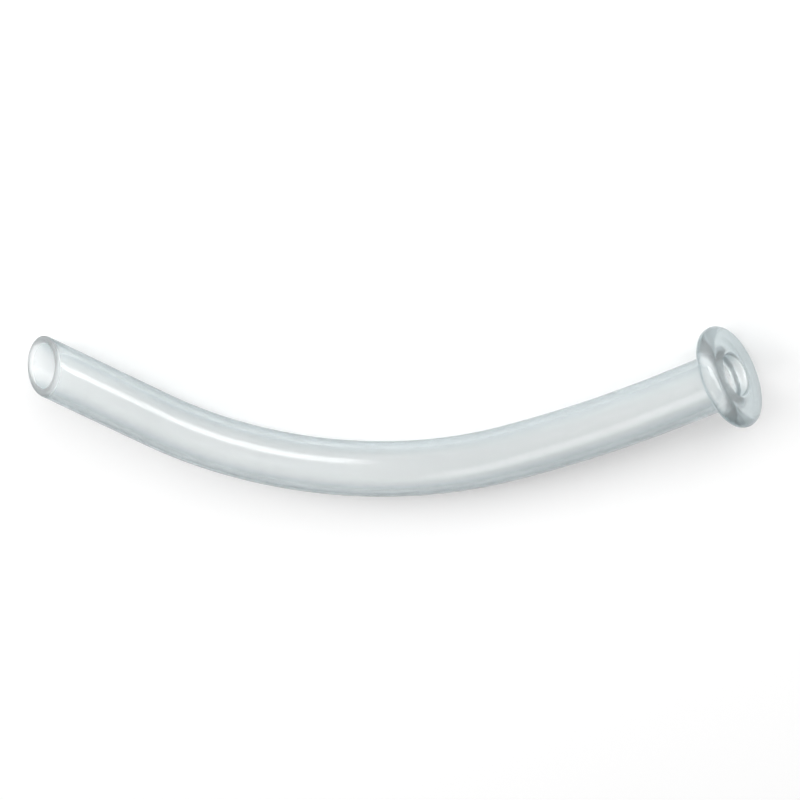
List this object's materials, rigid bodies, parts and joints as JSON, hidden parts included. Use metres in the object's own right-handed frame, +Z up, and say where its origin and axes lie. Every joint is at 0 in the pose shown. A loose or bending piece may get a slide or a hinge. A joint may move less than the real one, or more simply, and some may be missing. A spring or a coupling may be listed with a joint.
{
  "type": "nasopharyngeal airway",
  "caption": "Soft clear curved tube with a slanted, rounded tip and a round thick-lipped flange, passed through a nostril to keep the airway open.",
  "frame": {"origin": "bottom centre of the bounding box of the tube as it lies at rest on its side on a flat surface", "axes": "+Z up from the table; +X along the chord from the middle of the flange's face to the middle of the tip; +Y away from the hollow side of the curve"},
  "size_m": [0.1376, 0.0418, 0.0196],
  "materials": {
    "clear_vinyl": "clear soft plastic with a faint grey-green tint, smooth and glossy"
  },
  "bodies": {
    "root": {"nasal_airway": "clear_vinyl"}
  },
  "joints": []
}
